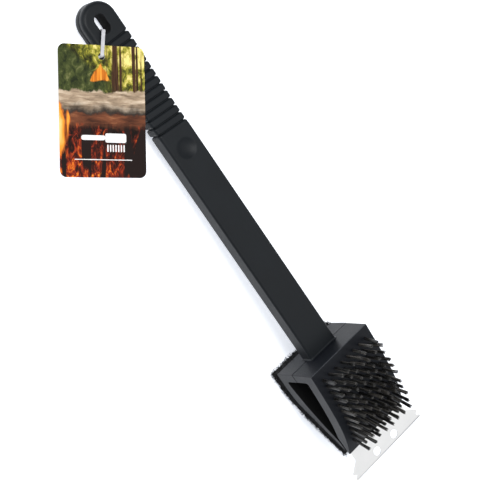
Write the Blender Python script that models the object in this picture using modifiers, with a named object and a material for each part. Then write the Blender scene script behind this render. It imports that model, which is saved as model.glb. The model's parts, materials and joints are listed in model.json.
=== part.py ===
"""Grill cleaning brush: ribbed plastic handle, two-part hollow head, drawn tufts, pad, scraper and tag.

The brush is drawn in its own frame: +X along the handle towards the scraper, +Z the bristle side, and
the origin on the outer face of the head's rear wall, on the handle's centre line. One empty then tilts
it into the pose in which it lies on a table, on the handle's end and the pad's rear edge.
"""
import math

import bmesh
import bpy
import numpy as np
from mathutils import Matrix, Vector

# ---- Driving dimensions, in metres ----
GAP = 0.0003                      # left between pieces that touch
ANGLE_LIMIT = math.radians(40)    # edges flatter than this stay unrounded

HANDLE_LENGTH = 0.2885
HANDLE_WIDTH = 0.025
HANDLE_HEIGHT = 0.0122
HANDLE_ROUND = 0.0012
SLOT_LENGTH = 0.0140
SLOT_WIDTH = 0.0080
SLOT_X = -0.2730
GROOVE_COUNT = 13
GROOVE_FIRST_X = -0.2590
GROOVE_PITCH = 0.00585
GROOVE_WIDTH = 0.0012
GROOVE_DEPTH = 0.0014
DIMPLE_X = -0.1718
DIMPLE_RADIUS = 0.0065
DIMPLE_DEPTH = 0.0012
TANG_WIDTH = 0.016
TANG_HEIGHT = 0.007
TANG_HEAD_WIDTH = 0.022
TANG_HEAD_LENGTH = 0.003

HEAD_WIDTH = 0.058
HEAD_DEPTH = 0.0725
HEAD_ROUND = 0.0005
REAR_WALL = 0.007
FACE_REAR_Z = 0.0244              # bristle face at the rear wall
FACE_SLOPE = 0.10                 # its slope there, falling towards the tip
FACE_TIP_Z = 0.0046
BLOCK_THICKNESS = 0.0104          # of the bristle block, measured along Z
CARRIER_REAR_Z = -0.0205          # pad side at the rear wall
CARRIER_SLOPE = 0.50              # its rise towards the tip
CARRIER_BEND_X = 0.025
CARRIER_BEND_LENGTH = 0.00375
WINDOW_FLOOR_Z = -0.0128          # lower edge of the side window at the rear wall
WINDOW_FLOOR_SLOPE = 0.12
WINDOW_FLOOR_CURVE = 2.9

BLADE_TOP_Z = 0.0032
BLADE_THICKNESS = 0.0008
BLADE_REAR_X = 0.061
BLADE_FRONT_X = 0.092
BLADE_NECK_HALF = 0.0272
BLADE_HALF_WIDTH = 0.035
BLADE_FLARE_X = 0.080             # where the neck starts to widen
BLADE_HOOK_X = (0.0862, 0.0872)   # the hooked corner's outer edge
BLADE_HOOK_HALF = 0.0352
BLADE_NOTCH_X = 0.0885            # deepest point of the notch behind the front corner
BLADE_NOTCH_HALF = 0.0328
BLADE_CORNER_X = 0.0902
BLADE_HOLE_RADIUS = 0.0032
BLADE_HOLE_X = 0.0868
BLADE_HOLE_Y = 0.0093
BLADE_BEVEL = 0.002

PAD_THICKNESS = 0.0085
PAD_REAR_X = 0.0005
PAD_FRONT_X = 0.0705

ROW_COUNT = 11
ROW_FIRST_X = 0.0085
ROW_LAST_X = 0.0635
TUFTS_IN_ROW = 8
TUFT_PITCH = 0.0064
TUFT_RADIUS = 0.0012
TUFT_LENGTH = 0.015
WIRE_SIZE = 0.0012

SCREW_SHANK_RADIUS = 0.00135
SCREW_HEAD_RADIUS = 0.0022
SCREW_HEAD_HEIGHT = 0.0012
SCREW_SINK = 0.0002               # from the pad side's nearest edge to the head
REAR_SCREW_X = 0.0036
REAR_SCREW_Y = 0.021
REAR_SCREW_LENGTH = 0.029
FRONT_SCREW_X = 0.0632
FRONT_SCREW_Y = 2 * TUFT_PITCH
FRONT_SCREW_LENGTH = 0.0066

STRAP_AXIS = Vector((-0.270, -0.0023, 0.0))
STRAP_ANGLE = math.radians(-42)
STRAP_REACH = 0.0175              # from the run in the slot to the run in the tag's hole
STRAP_WIDTH = 0.0024
STRAP_THICKNESS = 0.0007
TAG_WIDTH = 0.0614
TAG_LENGTH = 0.0858
TAG_THICKNESS = 0.0006
TAG_CORNER = 0.0046
TAG_ANGLE = math.radians(-37.2)   # its long side, about +Z from +X
TAG_HOLE_RADIUS = 0.0023
TAG_HOLE_INSET = 0.0072           # from the tag's top edge
TAG_CLEARANCE = 0.0004            # between the handle, the tag and the strap

# ---- Derived dimensions ----
HALF_HEIGHT = HANDLE_HEIGHT / 2
BLADE_BOTTOM_Z = BLADE_TOP_Z - BLADE_THICKNESS
PAD_BOTTOM_Z = CARRIER_REAR_Z - GAP - PAD_THICKNESS
REST_TILT = math.atan2(-PAD_BOTTOM_Z - HALF_HEIGHT, HANDLE_LENGTH - HANDLE_ROUND + PAD_REAR_X)
STRAP_END_ANGLE_OFFSET = TAG_ANGLE - STRAP_ANGLE

PLASTIC = ((0.022, 0.025, 0.029, 1), 0.42, 0.0)
PLASTIC_HEAD = ((0.026, 0.029, 0.034, 1), 0.40, 0.0)
BRISTLE = ((0.012, 0.012, 0.012, 1), 0.35, 0.0)
STEEL = ((0.80, 0.80, 0.79, 1), 0.28, 1.0)
SCREW_STEEL = ((0.45, 0.45, 0.46, 1), 0.35, 1.0)
SCOURING = ((0.010, 0.010, 0.011, 1), 0.95, 0.0)
STRAP_PLASTIC = ((0.72, 0.73, 0.74, 1), 0.45, 0.0)
CARD = ((0.20, 0.11, 0.045, 1), 0.50, 0.0)


# ---- Outlines of the head, as heights over x ----
def face_z(x):
    """Bristle face: nearly flat at the rear, curling down to the tip."""
    drop = FACE_REAR_Z - FACE_SLOPE * HEAD_DEPTH - FACE_TIP_Z
    return FACE_REAR_Z - FACE_SLOPE * x - drop * (x / HEAD_DEPTH) ** 4


def face_lean(x):
    """Angle by which the bristle face's normal leans towards +X."""
    drop = FACE_REAR_Z - FACE_SLOPE * HEAD_DEPTH - FACE_TIP_Z
    return math.atan(FACE_SLOPE + 4 * drop * (x / HEAD_DEPTH) ** 3 / HEAD_DEPTH)


def block_underside(x):
    """Inner face of the bristle block: the window's ceiling, then the blade's seat."""
    return max(face_z(x) - BLOCK_THICKNESS, BLADE_TOP_Z + GAP)


def carrier_z(x):
    """Pad side: flat at the rear, then a soft bend into a straight rise."""
    bend = math.log1p(math.exp((x - CARRIER_BEND_X) / CARRIER_BEND_LENGTH))
    return CARRIER_REAR_Z + CARRIER_SLOPE * CARRIER_BEND_LENGTH * bend


def carrier_lean(x):
    """Slope angle of the pad side."""
    rise = 1 / (1 + math.exp((CARRIER_BEND_X - x) / CARRIER_BEND_LENGTH))
    return math.atan(CARRIER_SLOPE * rise)


def window_floor(x):
    """Lower edge of the side window."""
    run = x - REAR_WALL
    return WINDOW_FLOOR_Z + WINDOW_FLOOR_SLOPE * run + WINDOW_FLOOR_CURVE * run ** 2


def crossing(height, level, low, high):
    """The x at which a rising or falling height passes a level, between low and high."""
    rising = height(high) > height(low)
    for _ in range(40):
        middle = (low + high) / 2
        if (height(middle) > level) == rising:
            high = middle
        else:
            low = middle
    return low


# ---- Helpers ----
def clear_scene():
    for item in list(bpy.data.objects):
        bpy.data.objects.remove(item, do_unlink=True)


def new_collection(name):
    collection = bpy.data.collections.new(name)
    bpy.context.scene.collection.children.link(collection)
    return collection


def make_material(name, look):
    """A Principled material with the piece's colour, roughness and metallic value."""
    colour, roughness, metallic = look
    material = bpy.data.materials.new(name)
    material.use_nodes = True
    shader = material.node_tree.nodes["Principled BSDF"]
    shader.inputs["Base Color"].default_value = colour
    shader.inputs["Roughness"].default_value = roughness
    shader.inputs["Metallic"].default_value = metallic
    material.diffuse_color = colour
    return material


def add_part(name, mesh, look, parent=None):
    """Place a mesh as a named sub-part with its own material."""
    part = bpy.data.objects.new(name, mesh)
    PARTS.objects.link(part)
    part.data.materials.append(make_material(name, look))
    part.parent = parent or FRAME
    return part


def add_cutter(name, mesh, collection=None):
    """Place a mesh that only cuts or joins other pieces."""
    cutter = bpy.data.objects.new(name, mesh)
    (collection or CUTTERS).objects.link(cutter)
    cutter.parent = FRAME
    cutter.hide_render = True
    cutter.display_type = 'WIRE'
    return cutter


def arc(centre_x, centre_y, radius, start, end, steps):
    """Points on an arc, with angles in degrees."""
    angles = np.radians(np.linspace(start, end, steps + 1))
    return [(centre_x + radius * math.cos(a), centre_y + radius * math.sin(a)) for a in angles]


def stadium(centre_x, length, width, steps):
    """A slot's outline: two half circles joined by straight sides."""
    radius = width / 2
    reach = length / 2 - radius
    return (arc(centre_x + reach, 0, radius, -90, 90, steps)
            + arc(centre_x - reach, 0, radius, 90, 270, steps))


def rounded_rectangle(x_low, x_high, y_low, y_high, radius, steps=3):
    """A rectangle with quarter-circle corners."""
    return (arc(x_high - radius, y_low + radius, radius, -90, 0, steps)
            + arc(x_high - radius, y_high - radius, radius, 0, 90, steps)
            + arc(x_low + radius, y_high - radius, radius, 90, 180, steps)
            + arc(x_low + radius, y_low + radius, radius, 180, 270, steps))


def plate_mesh(name, loops, thickness, matrix=None):
    """Extrude flat outlines (later loops are holes) into a closed mesh, centred on its plane."""
    curve = bpy.data.curves.new(name, 'CURVE')
    curve.dimensions = '2D'
    curve.fill_mode = 'BOTH'
    curve.extrude = thickness / 2
    for loop in loops:
        spline = curve.splines.new('POLY')
        spline.points.add(len(loop) - 1)
        for point, (x, y) in zip(spline.points, loop):
            point.co = (x, y, 0, 1)
        spline.use_cyclic_u = True
    holder = bpy.data.objects.new(name, curve)
    bpy.context.scene.collection.objects.link(holder)
    evaluated = holder.evaluated_get(bpy.context.evaluated_depsgraph_get())
    mesh = bpy.data.meshes.new_from_object(evaluated)
    bpy.data.objects.remove(holder, do_unlink=True)
    shell = bmesh.new()
    shell.from_mesh(mesh)
    bmesh.ops.remove_doubles(shell, verts=shell.verts, dist=0.00001)
    bmesh.ops.dissolve_limit(shell, angle_limit=math.radians(0.1), verts=shell.verts, edges=shell.edges)
    bmesh.ops.recalc_face_normals(shell, faces=shell.faces)
    shell.to_mesh(mesh)
    shell.free()
    if matrix:
        mesh.transform(matrix)
    return mesh


def box_mesh(name, low, high):
    """A closed box between two corners."""
    low, high = Vector(low), Vector(high)
    size = high - low
    shell = bmesh.new()
    placing = Matrix.Translation((low + high) / 2) @ Matrix.Diagonal((*size, 1))
    bmesh.ops.create_cube(shell, size=1, matrix=placing)
    mesh = bpy.data.meshes.new(name)
    shell.to_mesh(mesh)
    shell.free()
    return mesh


def cylinder_mesh(name, radius, bottom, top, sides=16):
    """A closed upright cylinder on the local Z axis."""
    shell = bmesh.new()
    placing = Matrix.Translation((0, 0, (bottom + top) / 2))
    bmesh.ops.create_cone(shell, cap_ends=True, segments=sides, radius1=radius, radius2=radius,
                          depth=top - bottom, matrix=placing)
    mesh = bpy.data.meshes.new(name)
    shell.to_mesh(mesh)
    shell.free()
    return mesh


def round_edges(part, width, segments):
    bevel = part.modifiers.new("rounded_edges", 'BEVEL')
    bevel.width = width
    bevel.segments = segments
    bevel.limit_method = 'ANGLE'
    bevel.angle_limit = ANGLE_LIMIT


def combine(part, operation, other):
    """Boolean with one object, or with every object of a collection."""
    boolean = part.modifiers.new(other.name, 'BOOLEAN')
    boolean.operation = operation
    boolean.solver = 'EXACT'
    if isinstance(other, bpy.types.Collection):
        boolean.operand_type = 'COLLECTION'
        boolean.collection = other
    else:
        boolean.object = other


# Turns an outline drawn in x and y into one standing in x and z.
STANDING = Matrix.Rotation(math.radians(90), 4, 'X')


# ---- Handle ----
def grip_grooves():
    """Rectangular rings that cut the thin grooves between the grip's ribs."""
    rings = new_collection("groove_cutters")
    outer = rounded_rectangle(-HALF_HEIGHT * 1.3, HALF_HEIGHT * 1.3,
                              -HANDLE_WIDTH * 0.6, HANDLE_WIDTH * 0.6, 0.001, 1)
    inner = rounded_rectangle(-HALF_HEIGHT + GROOVE_DEPTH, HALF_HEIGHT - GROOVE_DEPTH,
                              -HANDLE_WIDTH / 2 + GROOVE_DEPTH, HANDLE_WIDTH / 2 - GROOVE_DEPTH, 0.001, 1)
    across = Matrix.Rotation(math.radians(90), 4, 'Y')
    ring = plate_mesh("groove_ring", [outer, inner], GROOVE_WIDTH, across)
    for index in range(GROOVE_COUNT):
        cutter = add_cutter(f"groove_{index + 1:02d}", ring, rings)
        cutter.location.x = GROOVE_FIRST_X + index * GROOVE_PITCH
    return rings


def thumb_dimple():
    """A ball that sinks a shallow round dimple into the shaft's upper face."""
    ball_radius = (DIMPLE_RADIUS ** 2 + DIMPLE_DEPTH ** 2) / (2 * DIMPLE_DEPTH)
    shell = bmesh.new()
    bmesh.ops.create_uvsphere(shell, u_segments=16, v_segments=28, radius=ball_radius)
    mesh = bpy.data.meshes.new("dimple_ball")
    shell.to_mesh(mesh)
    shell.free()
    ball = add_cutter("dimple_ball", mesh)
    ball.location = (DIMPLE_X, 0, HALF_HEIGHT + ball_radius - DIMPLE_DEPTH)
    return ball


def handle_tang():
    """T-shaped tongue that the two halves of the head close around."""
    inner = REAR_WALL + GAP
    neck = TANG_WIDTH / 2
    head = TANG_HEAD_WIDTH / 2
    outline = [(-0.006, -neck), (inner, -neck), (inner, -head), (inner + TANG_HEAD_LENGTH, -head),
               (inner + TANG_HEAD_LENGTH, head), (inner, head), (inner, neck), (-0.006, neck)]
    return add_cutter("tang_form", plate_mesh("tang_form", [outline], TANG_HEIGHT))


def build_handle():
    half = HANDLE_WIDTH / 2
    round_end = arc(-HANDLE_LENGTH + half, 0, half, 90, 270, 16)
    outline = [(-GAP, -half), (-GAP, half)] + round_end
    slot = stadium(SLOT_X, SLOT_LENGTH, SLOT_WIDTH, 8)
    handle = add_part("handle", plate_mesh("handle", [outline, slot], HANDLE_HEIGHT), PLASTIC)
    round_edges(handle, HANDLE_ROUND, 1)
    combine(handle, 'UNION', handle_tang())
    combine(handle, 'DIFFERENCE', grip_grooves())
    combine(handle, 'DIFFERENCE', thumb_dimple())
    return handle


# ---- Head ----
def profile(height, start, end, steps):
    """Points along a height curve between two x values."""
    return [(x, height(x)) for x in np.linspace(start, end, steps + 1)]


def block_outline():
    """Bristle block: upper rear wall, curved bristle plate and the lip over the blade."""
    seat_start = crossing(lambda x: face_z(x) - BLOCK_THICKNESS, BLADE_TOP_Z + GAP, 0.03, HEAD_DEPTH)
    return ([(0, GAP / 2)] + profile(face_z, 0, HEAD_DEPTH, 14)
            + [(HEAD_DEPTH, BLADE_TOP_Z + GAP)]
            + profile(block_underside, seat_start, REAR_WALL, 10)
            + [(REAR_WALL, GAP / 2)])


def carrier_outline():
    """Pad carrier: lower rear wall, pad plate and the block under the blade."""
    seat = BLADE_BOTTOM_Z - GAP
    floor_end = crossing(window_floor, seat, REAR_WALL, HEAD_DEPTH)
    tip = crossing(carrier_z, seat - 0.0006, CARRIER_BEND_X, HEAD_DEPTH)
    return ([(0, -GAP / 2), (REAR_WALL, -GAP / 2)]
            + profile(window_floor, REAR_WALL, floor_end, 8)
            + [(tip, seat)]
            + profile(carrier_z, tip, 0, 16))


def tang_opening():
    """The hole in the rear wall, half in each part of the head."""
    half_width = TANG_WIDTH / 2 + GAP
    half_height = TANG_HEIGHT / 2 + GAP
    low = (-0.001, -half_width, -half_height)
    high = (REAR_WALL + 0.0005, half_width, half_height)
    return add_cutter("tang_opening", box_mesh("tang_opening", low, high))


def head_shell(name, outline, look):
    shell = add_part(name, plate_mesh(name, [outline], HEAD_WIDTH, STANDING), look)
    round_edges(shell, HEAD_ROUND, 1)
    return shell


# ---- Tufts ----
def row_positions():
    """The rows' x values, evenly spaced along the curved bristle face."""
    xs = np.linspace(ROW_FIRST_X, ROW_LAST_X, 400)
    zs = np.array([face_z(x) for x in xs])
    run = np.concatenate([[0], np.cumsum(np.hypot(np.diff(xs), np.diff(zs)))])
    return np.interp(np.linspace(0, run[-1], ROW_COUNT), run, xs)


def block_depth(x):
    """Distance through the bristle block along the face's normal at x."""
    lean = face_lean(x)
    depth = 0.0
    while face_z(x) - depth * math.cos(lean) > block_underside(x - depth * math.sin(lean)):
        depth += 0.00005
    return depth


def tuft_prisms(name, bottom, top, radius):
    """A row of upright six-sided prisms, side by side along Y."""
    shell = bmesh.new()
    middle = (TUFTS_IN_ROW - 1) / 2
    for index in range(TUFTS_IN_ROW):
        centre = Vector((0, (index - middle) * TUFT_PITCH, (bottom + top) / 2))
        bmesh.ops.create_cone(shell, cap_ends=True, segments=6, radius1=radius, radius2=radius,
                              depth=top - bottom, matrix=Matrix.Translation(centre))
    mesh = bpy.data.meshes.new(name)
    shell.to_mesh(mesh)
    shell.free()
    return mesh


def wire_mesh(name, bottom, top, half_size):
    """The drawing wire that joins a row's tufts, behind the bristle block."""
    reach = (TUFTS_IN_ROW - 1) / 2 * TUFT_PITCH + half_size
    return box_mesh(name, (-half_size, -reach, bottom), (half_size, reach, top))


def set_on_face(item, x):
    """Stand an item on the bristle face at x, square to it."""
    item.location = (x, 0, face_z(x))
    item.rotation_euler = (0, face_lean(x), 0)


def tuft_hole_cutter(index, x, depth, holes):
    """The row's holes and the groove for its wire, a gap wider than the row itself."""
    below = -depth - 0.0012
    wire_top = -depth + 0.0002 + WIRE_SIZE + GAP
    name = f"tuft_holes_{index:02d}"
    prisms = add_cutter(name + "_round", tuft_prisms(name, below - 0.0002, 0.003, TUFT_RADIUS + GAP))
    groove = add_cutter(name, wire_mesh(name, below, wire_top, WIRE_SIZE / 2 + GAP), holes)
    for item in (prisms, groove):
        set_on_face(item, x)
    combine(groove, 'UNION', prisms)


def build_tufts():
    """The rows of bristle tufts, and a collection that holds the cutters for their holes."""
    holes = new_collection("tuft_hole_cutters")
    for index, x in enumerate(row_positions(), start=1):
        depth = block_depth(x)
        name = f"tuft_row_{index:02d}"
        prisms = add_cutter(name + "_tufts", tuft_prisms(name, -depth, TUFT_LENGTH, TUFT_RADIUS))
        wire_bottom = -depth + 0.0002
        wire = wire_mesh(name, wire_bottom, wire_bottom + WIRE_SIZE, WIRE_SIZE / 2)
        row = add_part(name, wire, BRISTLE)
        for item in (prisms, row):
            set_on_face(item, x)
        combine(row, 'UNION', prisms)
        tuft_hole_cutter(index, x, depth, holes)
    return holes


# ---- Scraper ----
def blade_outline():
    """Trapezoid with hooked corners, wider than the head."""
    half = [(BLADE_REAR_X, BLADE_NECK_HALF), (BLADE_FLARE_X, BLADE_NECK_HALF)]
    half += [(x, BLADE_HOOK_HALF) for x in BLADE_HOOK_X]
    half += [(BLADE_NOTCH_X, BLADE_NOTCH_HALF), (BLADE_CORNER_X, BLADE_HALF_WIDTH)]
    half += [(BLADE_FRONT_X, BLADE_HALF_WIDTH)]
    return half + [(x, -y) for x, y in reversed(half)]


def circle(centre_x, centre_y, radius, steps=20):
    return arc(centre_x, centre_y, radius, 0, 360, steps)[:-1]


def blade_grind():
    """Wedge above the front edge that grinds it to a chisel."""
    angle = math.atan2(BLADE_THICKNESS * 0.6, BLADE_BEVEL)
    wedge = add_cutter("blade_grind", box_mesh("blade_grind", (-0.001, -0.05, 0), (0.01, 0.05, 0.004)))
    wedge.location = (BLADE_FRONT_X - BLADE_BEVEL, 0, BLADE_TOP_Z)
    wedge.rotation_euler = (0, angle, 0)
    return wedge


def build_blade():
    openings = [circle(BLADE_HOLE_X, side * BLADE_HOLE_Y, BLADE_HOLE_RADIUS) for side in (-1, 1)]
    screw_holes = [circle(FRONT_SCREW_X, side * FRONT_SCREW_Y, SCREW_SHANK_RADIUS + GAP, 12)
                   for side in (-1, 1)]
    middle = Matrix.Translation((0, 0, BLADE_TOP_Z - BLADE_THICKNESS / 2))
    mesh = plate_mesh("scraper_blade", [blade_outline()] + openings + screw_holes, BLADE_THICKNESS, middle)
    blade = add_part("scraper_blade", mesh, STEEL)
    combine(blade, 'DIFFERENCE', blade_grind())
    return blade


# ---- Scouring pad ----
def pad_edge(offset, steps=14):
    """Points at a distance below the pad carrier's curved face."""
    points = []
    for x in np.linspace(PAD_REAR_X, PAD_FRONT_X, steps + 1):
        lean = carrier_lean(x)
        points.append((x + offset * math.sin(lean), carrier_z(x) - offset * math.cos(lean)))
    return points


def build_pad():
    outline = pad_edge(GAP) + list(reversed(pad_edge(GAP + PAD_THICKNESS)))
    mesh = plate_mesh("scouring_pad", [outline], HEAD_WIDTH, STANDING)
    return add_part("scouring_pad", mesh, SCOURING)


# ---- Housing screws ----
def screw_profile(length):
    """Half section from the point down to the underside of the head."""
    return [(0, length), (SCREW_SHANK_RADIUS * 0.5, length - 0.0004),
            (SCREW_SHANK_RADIUS, length - 0.0016), (SCREW_SHANK_RADIUS, SCREW_HEAD_HEIGHT),
            (SCREW_HEAD_RADIUS, SCREW_HEAD_HEIGHT), (SCREW_HEAD_RADIUS, 0.0004),
            (SCREW_HEAD_RADIUS - 0.0004, 0), (0, 0)]


def build_screw(name, x, y, seat_z, length):
    """A screw that points up, and the cutter for its hole and head recess."""
    mesh = bpy.data.meshes.new(name)
    points = [(radius, 0, z) for radius, z in screw_profile(length)]
    mesh.from_pydata(points, [(i, i + 1) for i in range(len(points) - 1)], [])
    screw = add_part(name, mesh, SCREW_STEEL)
    turn = screw.modifiers.new("turned", 'SCREW')
    turn.steps = 14
    turn.render_steps = 14
    turn.use_merge_vertices = True
    turn.merge_threshold = 0.00001
    screw.location = (x, y, seat_z)
    bore = add_cutter(name + "_bore", cylinder_mesh(name + "_bore", SCREW_SHANK_RADIUS + GAP, 0.0002,
                                                    length + GAP, 12))
    recess = cylinder_mesh(name + "_recess", SCREW_HEAD_RADIUS + GAP, -0.006, SCREW_HEAD_HEIGHT + GAP)
    head_recess = add_cutter(name + "_recess", recess)
    for cutter in (bore, head_recess):
        cutter.location = (x, y, seat_z)
    return bore, head_recess


def build_screws(block, carrier):
    """Two screws up through the rear wall and two through the blade, all under the pad."""
    rear_seat = carrier_z(REAR_SCREW_X + SCREW_HEAD_RADIUS) + SCREW_SINK
    front_seat = carrier_z(FRONT_SCREW_X + SCREW_HEAD_RADIUS) + SCREW_SINK
    places = [("rear", REAR_SCREW_X, REAR_SCREW_Y, rear_seat, REAR_SCREW_LENGTH),
              ("front", FRONT_SCREW_X, FRONT_SCREW_Y, front_seat, FRONT_SCREW_LENGTH)]
    for place, x, y, seat_z, length in places:
        for side_name, side in (("right", -1), ("left", 1)):
            name = f"housing_screw_{place}_{side_name}"
            bore, recess = build_screw(name, x, side * y, seat_z, length)
            combine(block, 'DIFFERENCE', bore)
            combine(carrier, 'DIFFERENCE', bore)
            combine(carrier, 'DIFFERENCE', recess)


# ---- Strap and tag ----
def add_axis(name, location, angle, parent):
    """An empty whose Z is a joint's axis."""
    axis = bpy.data.objects.new(name, None)
    PARTS.objects.link(axis)
    axis.parent = parent
    axis.location = location
    axis.rotation_euler = (0, 0, angle)
    return axis


def build_strap():
    """Flat band that runs up through the slot, over the tag, down its hole and under the handle."""
    half = STRAP_THICKNESS / 2
    top = HALF_HEIGHT + 2 * TAG_CLEARANCE + TAG_THICKNESS
    bottom = -HALF_HEIGHT - GAP
    outer = rounded_rectangle(-half, STRAP_REACH + half, bottom - STRAP_THICKNESS, top + STRAP_THICKNESS,
                              0.0012, 4)
    inner = rounded_rectangle(half, STRAP_REACH - half, bottom, top, 0.0005, 3)
    axis = add_axis("strap_axis", STRAP_AXIS, STRAP_ANGLE, FRAME)
    mesh = plate_mesh("tag_strap", [outer, inner], STRAP_WIDTH, STANDING)
    add_part("tag_strap", mesh, STRAP_PLASTIC, axis)
    return axis


def build_tag(strap_axis):
    """Stiff printed card that lies just over the handle, round the strap's outer run."""
    axis = add_axis("tag_axis", (STRAP_REACH, 0, 0), STRAP_END_ANGLE_OFFSET, strap_axis)
    card = rounded_rectangle(-TAG_HOLE_INSET, TAG_LENGTH - TAG_HOLE_INSET,
                             -TAG_WIDTH / 2, TAG_WIDTH / 2, TAG_CORNER, 6)
    middle = Matrix.Translation((0, 0, HALF_HEIGHT + TAG_CLEARANCE + TAG_THICKNESS / 2))
    mesh = plate_mesh("hang_tag", [card, circle(0, 0, TAG_HOLE_RADIUS, 16)], TAG_THICKNESS, middle)
    add_part("hang_tag", mesh, CARD, axis)


# ---- Assembly ----
def shade_round_pieces():
    for part in PARTS.objects:
        if part.type == 'MESH' and part.data.polygons:
            part.data.shade_smooth()
            part.data.set_sharp_from_angle(angle=ANGLE_LIMIT)


def stand_on_ground():
    """Move the tilted frame so that the brush's box stands on z = 0, centred on the origin."""
    bpy.context.view_layer.update()
    depsgraph = bpy.context.evaluated_depsgraph_get()
    corners = []
    for part in PARTS.objects:
        if part.type != 'MESH':
            continue
        evaluated = part.evaluated_get(depsgraph)
        corners += [part.matrix_world @ vertex.co for vertex in evaluated.data.vertices]
    low = [min(corner[axis] for corner in corners) for axis in range(3)]
    high = [max(corner[axis] for corner in corners) for axis in range(3)]
    FRAME.location = (-(low[0] + high[0]) / 2, -(low[1] + high[1]) / 2, -low[2])
    bpy.context.view_layer.update()


clear_scene()
PARTS = new_collection("grill_cleaning_brush")
CUTTERS = new_collection("cutters")
FRAME = bpy.data.objects.new("brush_frame", None)
PARTS.objects.link(FRAME)
FRAME.rotation_euler = (0, -REST_TILT, 0)

build_handle()
bristle_block = head_shell("bristle_block", block_outline(), PLASTIC_HEAD)
pad_carrier = head_shell("pad_carrier", carrier_outline(), PLASTIC_HEAD)
opening = tang_opening()
combine(bristle_block, 'DIFFERENCE', opening)
combine(pad_carrier, 'DIFFERENCE', opening)
combine(bristle_block, 'DIFFERENCE', build_tufts())
build_blade()
build_pad()
build_screws(bristle_block, pad_carrier)
build_tag(build_strap())
shade_round_pieces()
stand_on_ground()
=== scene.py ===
"""Grill cleaning brush: the looks. Shapes are drawn in the brush's own frame, then laid on the CAD frame.

The brush's own frame has +X along the handle towards the scraper and +Z the bristle side, with the
origin on the outer face of the head's rear wall, on the handle's centre line. Lengths are in metres.
"""
import json
import math
import random

import bmesh
import bpy
import numpy as np
from mathutils import Matrix, Vector, noise


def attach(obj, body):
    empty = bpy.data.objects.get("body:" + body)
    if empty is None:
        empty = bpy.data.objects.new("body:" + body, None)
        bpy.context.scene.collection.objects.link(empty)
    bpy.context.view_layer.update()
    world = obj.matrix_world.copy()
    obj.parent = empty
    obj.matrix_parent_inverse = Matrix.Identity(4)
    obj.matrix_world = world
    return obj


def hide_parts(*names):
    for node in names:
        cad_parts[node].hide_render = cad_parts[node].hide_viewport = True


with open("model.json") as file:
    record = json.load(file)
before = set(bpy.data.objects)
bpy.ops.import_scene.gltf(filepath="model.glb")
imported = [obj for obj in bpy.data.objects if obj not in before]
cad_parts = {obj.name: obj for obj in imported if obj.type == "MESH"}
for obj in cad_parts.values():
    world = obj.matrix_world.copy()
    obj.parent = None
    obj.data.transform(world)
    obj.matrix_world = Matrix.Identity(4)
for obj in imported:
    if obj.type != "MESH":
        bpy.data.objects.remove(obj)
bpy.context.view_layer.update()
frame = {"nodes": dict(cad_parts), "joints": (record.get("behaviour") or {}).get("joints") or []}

MM = 0.001

# ---- Driving dimensions: the CAD model's, but for the loop, rims, grip, dimple and fillets ----
HANDLE_LENGTH = 288.5 * MM
HANDLE_HALF_WIDTH = 12.5 * MM
HANDLE_HALF_HEIGHT = 6.1 * MM
LOOP_HALF_WIDTH = 13.2 * MM           # the grip widens towards the loop, mostly on the far side
LOOP_SHIFT = 0.75 * MM
FLARE_X = (-262 * MM, -205 * MM)
LOOP_RIMS = (2.9 * MM, 1.8 * MM)      # upper and lower edge
GRIP_RIMS = (2.2 * MM, 1.2 * MM)
SHAFT_RIMS = (1.6 * MM, 0.8 * MM)
WAIST_DEPTH = 0.55 * MM               # shallow channel round the loop's side wall
WAIST_HALF = 1.5 * MM
WAIST_FADE = (4 * MM, 1.6 * MM)        # before the first groove's middle
WAIST_START = 1.5 * MM
ROOT_FILLET = 1.1 * MM                # where the shaft runs into the head's rear wall
SLOT_X = -273.0 * MM
SLOT_LENGTH = 14.0 * MM
SLOT_WIDTH = 8.0 * MM
SLOT_Y = 0.3 * MM
SLOT_RIM = 0.3 * MM
GROOVE_COUNT = 13
GROOVE_FIRST_X = -260.2 * MM
GROOVE_PITCH = 5.8 * MM
GROOVE_DEPTH = 1.3 * MM
GROOVE_FLAT = 0.2 * MM                # half the width of a groove's floor
GROOVE_LEAD = 2.2 * MM
GROOVE_OFFSETS = (1.6, 1.35, 1.1, 0.9, 0.7, 0.55, 0.42, 0.32, 0.24, 0.19)   # mm
RIM_X = (-262 * MM, -258.5 * MM, -189.5 * MM, -187 * MM)    # loop's rims, grip's, grip's, shaft's
RIB_ROUND = 1.35 * MM
GRIP_SKEW = 0.085                     # the grooves lean towards the head on the far side
SKEW_X = (-262 * MM, -250 * MM, -190 * MM, -182 * MM)       # none, full, full, none
GRIP_END_X = -185 * MM
SHAFT_START_X = -155 * MM
SHAFT_MIDDLE_X = -100 * MM
DIMPLE_X = -173.6 * MM
DIMPLE_RADIUS = 7.5 * MM
DIMPLE_DEPTH = 1.75 * MM
TANG_HALF_WIDTH = 8 * MM
TANG_HEAD_HALF_WIDTH = 11 * MM
TANG_HALF_HEIGHT = 3.5 * MM
TANG_HEAD_LENGTH = 3 * MM

HEAD_WIDTH = 58 * MM
HEAD_DEPTH = 72.5 * MM
REAR_WALL = 7 * MM
REAR_DRAFT = 0.5 * MM
FACE_REAR_Z = 24.4 * MM
FACE_SLOPE = 0.10
FACE_TIP_Z = 4.6 * MM
BLOCK_THICKNESS = 10.4 * MM
CARRIER_REAR_Z = -20.5 * MM
CARRIER_SLOPE = 0.50
CARRIER_BEND_X = 25 * MM
CARRIER_BEND_LENGTH = 3.75 * MM
WINDOW_FLOOR_Z = -12.8 * MM
WINDOW_FLOOR_SLOPE = 0.12
WINDOW_FLOOR_CURVE = 2.9
WINDOW_FILLET = 1.8 * MM
BLOCK_FILLET_DROP = 2.0 * MM
CARRIER_FILLET_RISE = 2.1 * MM
BLOCK_BEVEL = 0.6 * MM
CARRIER_BEVEL = 0.45 * MM
GAP = 0.3 * MM

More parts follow.
